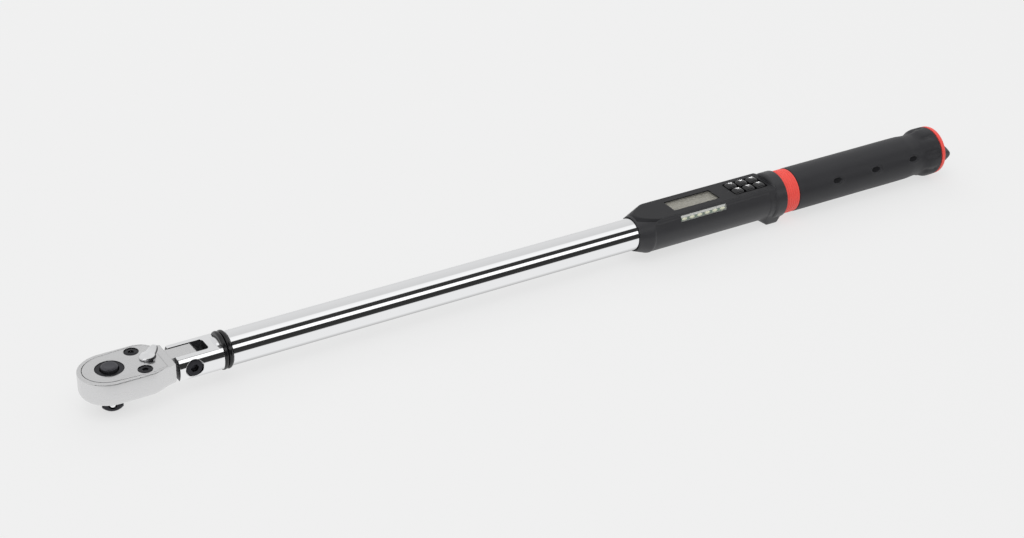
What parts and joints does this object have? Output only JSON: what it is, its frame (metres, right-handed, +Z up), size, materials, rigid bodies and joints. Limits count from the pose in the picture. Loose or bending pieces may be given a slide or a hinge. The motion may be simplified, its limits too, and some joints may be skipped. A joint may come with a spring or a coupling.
{
  "type": "electronic torque wrench",
  "caption": "Electronic torque wrench with a flex ratchet head, round chrome tube, keypad and display housing, and a rubber grip with a screw-on battery cap.",
  "frame": {"origin": "centre of the square drive's tip face", "axes": "+X along the tool from the drive to the handle, +Z up out of the display side, -Z the way the drive points"},
  "size_m": [0.6605, 0.036, 0.0356],
  "materials": {
    "satin_chrome": "satin chrome plate, fine bead-blasted look",
    "chrome": "bright polished chrome plate",
    "black_steel": "black oxide, slightly oily sheen",
    "steel": "machined steel",
    "spring_steel": "drawn spring wire",
    "brass": "plain brass and foil",
    "housing": "black glass-filled plastic, fine spark texture",
    "grip": "black moulded rubber, semi-matte",
    "seal": "black rubber",
    "red": "red plastic, satin",
    "keys": "gloss black domed caps",
    "display": "unlit reflective display, grey-beige",
    "window": "clear flat window",
    "lens": "milky light window",
    "leds": "light emitters on a green strip",
    "board": "green solder mask",
    "cells": "printed metal jacket, no text"
  },
  "bodies": {
    "handle": {"yoke": "chrome", "main_tube": "chrome", "pivot_bolt": "black_steel", "pivot_nut": "black_steel", "flex_plunger": "steel", "torque_beam": "steel", "beam_pin": "steel", "vibration_motor": "steel", "housing_screw_front": "steel", "housing_screw_rear": "steel", "flex_spring": "spring_steel", "strain_gauge_top": "brass", "strain_gauge_bottom": "brass", "battery_contact": "brass", "housing_body": "housing", "deck_cover": "housing", "battery_sleeve": "housing", "buzzer": "housing", "grip_sleeve": "grip", "neck_seal_front": "seal", "neck_seal_rear": "seal", "keypad_sheet": "seal", "gauge_cable": "seal", "trim_ring_front": "red", "lcd_panel": "display", "lcd_window": "window", "light_window_near": "lens", "light_window_far": "lens", "led_strip_near": "leds", "led_strip_far": "leds", "circuit_board": "board", "battery_front": "cells", "battery_rear": "cells"},
    "head": {"head_body": "satin_chrome", "cover_plate": "satin_chrome", "cover_screw_near": "black_steel", "cover_screw_far": "black_steel", "pawl_pin": "steel", "flex_washer_near": "steel", "flex_washer_far": "steel"},
    "drive": {"drive_gear": "black_steel"},
    "button": {"release_button": "black_steel", "release_spring": "spring_steel"},
    "detent": {"detent_ball": "chrome"},
    "pawl_rocker": {"pawl": "steel"},
    "lever": {"reversing_lever": "chrome", "lever_plunger": "steel", "lever_spring": "spring_steel"},
    "motor_weight": {"vibration_weight": "brass"},
    "cap_carrier": {"cap_o_ring": "seal"},
    "cap": {"battery_cap": "housing", "trim_ring_rear": "red", "cap_spring": "spring_steel"},
    "key_front_near": {"key_front_near": "keys"},
    "key_front_far": {"key_front_far": "keys"},
    "key_middle_near": {"key_middle_near": "keys"},
    "key_middle_far": {"key_middle_far": "keys"},
    "key_rear_near": {"key_rear_near": "keys"},
    "key_rear_far": {"key_rear_far": "keys"}
  },
  "joints": [
    {"name": "flex_tilt", "type": "hinge", "parent": "handle", "child": "head", "pos_m": [0.0487, 0, 0.018], "axis": [0, 1, 0], "range_deg": [-15, 15]},
    {"name": "drive_spin", "type": "hinge", "parent": "head", "child": "drive", "pos_m": [0, 0, 0.018], "axis": [0, 0, 1], "continuous": true},
    {"name": "release_press", "type": "slide", "parent": "drive", "child": "button", "axis": [0, 0, -1], "range_m": [0, 0.002], "stiffness_N_per_m": 900, "deforming": ["release_spring"]},
    {"name": "detent_slide", "type": "slide", "parent": "drive", "child": "detent", "axis": [0.309, 0.9511, 0], "range_m": [0, 0.0005]},
    {"name": "lever_turn", "type": "hinge", "parent": "head", "child": "lever", "pos_m": [0.024, 0, 0.018], "axis": [0, 0, 1], "range_deg": [-80, 0]},
    {"name": "pawl_swing", "type": "hinge", "parent": "head", "child": "pawl_rocker", "pos_m": [0.016, 0, 0.018], "axis": [0, 0, 1], "range_deg": [0, 12]},
    {"name": "motor_spin", "type": "hinge", "parent": "handle", "child": "motor_weight", "pos_m": [0.486, 0, 0.018], "axis": [1, 0, 0], "continuous": true},
    {"name": "cap_travel", "type": "slide", "parent": "handle", "child": "cap_carrier", "axis": [1, 0, 0], "range_m": [0, 0.012]},
    {"name": "cap_turn", "type": "hinge", "parent": "cap_carrier", "child": "cap", "pos_m": [0.632, 0, 0.018], "axis": [1, 0, 0], "range_deg": [0, 2160]},
    {"name": "key_front_near_press", "type": "slide", "parent": "handle", "child": "key_front_near", "axis": [0, 0, -1], "range_m": [0, 0.0007], "stiffness_N_per_m": 1500},
    {"name": "key_front_far_press", "type": "slide", "parent": "handle", "child": "key_front_far", "axis": [0, 0, -1], "range_m": [0, 0.0007], "stiffness_N_per_m": 1500},
    {"name": "key_middle_near_press", "type": "slide", "parent": "handle", "child": "key_middle_near", "axis": [0, 0, -1], "range_m": [0, 0.0007], "stiffness_N_per_m": 1500},
    {"name": "key_middle_far_press", "type": "slide", "parent": "handle", "child": "key_middle_far", "axis": [0, 0, -1], "range_m": [0, 0.0007], "stiffness_N_per_m": 1500},
    {"name": "key_rear_near_press", "type": "slide", "parent": "handle", "child": "key_rear_near", "axis": [0, 0, -1], "range_m": [0, 0.0007], "stiffness_N_per_m": 1500},
    {"name": "key_rear_far_press", "type": "slide", "parent": "handle", "child": "key_rear_far", "axis": [0, 0, -1], "range_m": [0, 0.0007], "stiffness_N_per_m": 1500}
  ],
  "couplings": [
    {"joint": "detent_slide", "follows": "release_press", "ratio": 0.25},
    {"joint": "pawl_swing", "follows": "lever_turn", "ratio": -0.15},
    {"joint": "cap_turn", "follows": "cap_travel", "rad_per_m": 3141.6}
  ]
}
